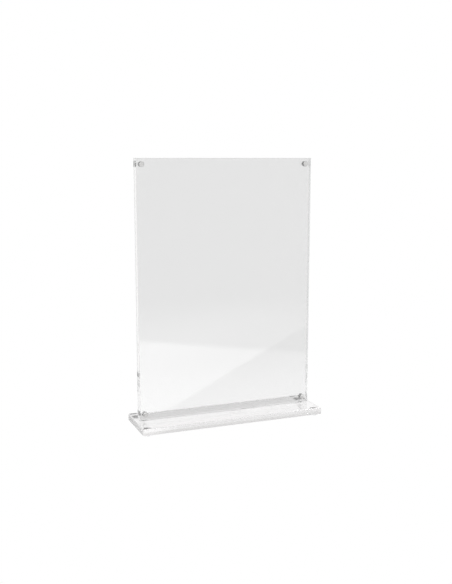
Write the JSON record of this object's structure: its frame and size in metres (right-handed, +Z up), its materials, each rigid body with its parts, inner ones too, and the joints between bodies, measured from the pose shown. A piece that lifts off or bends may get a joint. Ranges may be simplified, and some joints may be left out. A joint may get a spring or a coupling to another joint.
{
  "type": "photo frame stand",
  "caption": "Upright clear frame of two sheets held together by corner disc magnets, standing on a clear foot plate with bumper feet.",
  "frame": {"origin": "on the surface the feet stand on, below the middle of the base plate", "axes": "+X to the right seen from the front, +Y to the back, +Z up"},
  "size_m": [0.232, 0.065, 0.3197],
  "materials": {
    "panel_acrylic": "clear, polished faces and edges",
    "base_acrylic": "clear, polished faces and edges",
    "magnet_nickel": "bright nickel plate",
    "foot_rubber": "milky, satin"
  },
  "bodies": {
    "base": {"base_plate": "base_acrylic", "foot_front_left": "foot_rubber", "foot_front_right": "foot_rubber", "foot_back_left": "foot_rubber", "foot_back_right": "foot_rubber"},
    "rear_sheet": {"rear_panel": "panel_acrylic", "rear_magnet_top_left": "magnet_nickel", "rear_magnet_top_right": "magnet_nickel", "rear_magnet_bottom_left": "magnet_nickel", "rear_magnet_bottom_right": "magnet_nickel"},
    "front_sheet": {"front_panel": "panel_acrylic", "front_magnet_top_left": "magnet_nickel", "front_magnet_top_right": "magnet_nickel", "front_magnet_bottom_left": "magnet_nickel", "front_magnet_bottom_right": "magnet_nickel"}
  },
  "joints": [
    {"name": "rear_panel_lift", "type": "slide", "parent": "base", "child": "rear_sheet", "axis": [0, 0, 1], "range_m": [0, 0.02]},
    {"name": "front_panel_pull", "type": "slide", "parent": "rear_sheet", "child": "front_sheet", "axis": [0, -1, 0], "range_m": [0, 0.045]}
  ]
}
